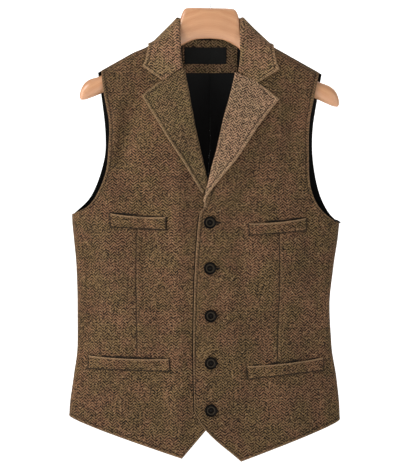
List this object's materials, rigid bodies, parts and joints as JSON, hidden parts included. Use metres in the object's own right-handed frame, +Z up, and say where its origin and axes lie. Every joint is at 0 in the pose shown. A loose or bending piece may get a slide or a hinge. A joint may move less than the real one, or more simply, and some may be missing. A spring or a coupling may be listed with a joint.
{
  "type": "suit waistcoat on a hanger",
  "caption": "Brown herringbone tweed suit waistcoat with a collar, notch lapels and pointed fronts, buttoned on a wooden hanger.",
  "frame": {"origin": "the point inside the hook's bend, at its top, that rests on a rail", "axes": "+Z up, +Y towards the back, +X towards the wearer's left"},
  "size_m": [0.4231, 0.1013, 0.764],
  "materials": {
    "tweed": "matte",
    "satin": "satin",
    "label_cloth": "satin",
    "button": "satin",
    "wood": "satin",
    "hook_steel": "polished"
  },
  "bodies": {
    "root": {"front_left": "tweed", "front_right": "tweed", "lapel_left": "tweed", "lapel_right": "tweed", "collar": "tweed", "neck_facing": "tweed", "welt_chest_left": "tweed", "welt_chest_right": "tweed", "welt_hip_left": "tweed", "welt_hip_right": "tweed", "back_left": "satin", "back_right": "satin", "neck_label": "label_cloth", "button_1": "button", "button_2": "button", "button_3": "button", "button_4": "button", "button_5": "button", "hanger_body": "wood", "hanger_hook": "hook_steel"}
  },
  "joints": []
}
